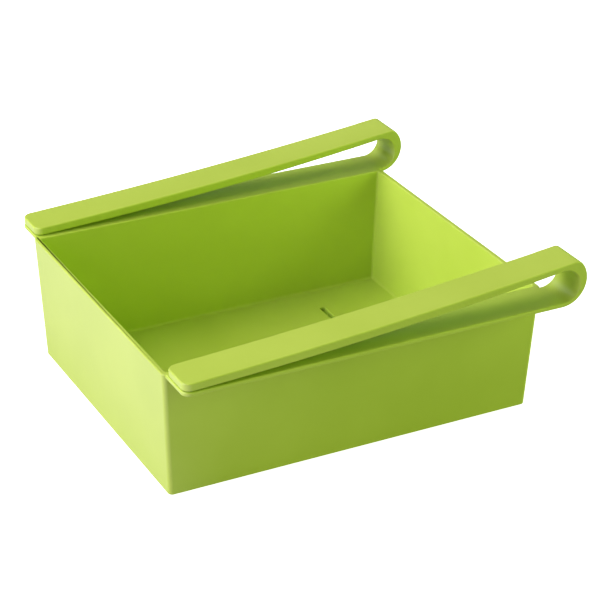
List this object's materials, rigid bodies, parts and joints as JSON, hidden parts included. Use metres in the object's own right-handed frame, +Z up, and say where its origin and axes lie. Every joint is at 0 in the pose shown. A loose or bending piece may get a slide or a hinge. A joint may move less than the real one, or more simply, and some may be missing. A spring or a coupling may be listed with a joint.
{
  "type": "under-shelf drawer organizer",
  "caption": "Open drafted tray hung under a refrigerator shelf: a hairpin spring clip along each long side slides over the glass from its open back end.",
  "frame": {"origin": "middle of the whole part's footprint, on the tray's underside", "axes": "+Z up, +Y towards the back of the refrigerator (the clips' open ends), +X to the right for a user who faces the clips' loops"},
  "size_m": [0.1914, 0.205, 0.0831],
  "materials": {
    "tray_plastic": "smooth moulded lime green",
    "clip_plastic": "smooth moulded lime green"
  },
  "bodies": {
    "tray": {"basin": "tray_plastic", "left_rail": "clip_plastic", "right_rail": "clip_plastic", "left_loop": "clip_plastic", "right_loop": "clip_plastic"},
    "left_clip": {"left_arm": "clip_plastic"},
    "right_clip": {"right_arm": "clip_plastic"}
  },
  "joints": [
    {"name": "left_clip_flex", "type": "hinge", "parent": "tray", "child": "left_clip", "pos_m": [-0.0859, -0.086, 0.0805], "axis": [1, 0, 0], "range_deg": [0, 4], "stiffness_Nm_per_rad": 1.7},
    {"name": "right_clip_flex", "type": "hinge", "parent": "tray", "child": "right_clip", "pos_m": [0.0859, -0.086, 0.0805], "axis": [1, 0, 0], "range_deg": [0, 4], "stiffness_Nm_per_rad": 1.7}
  ]
}
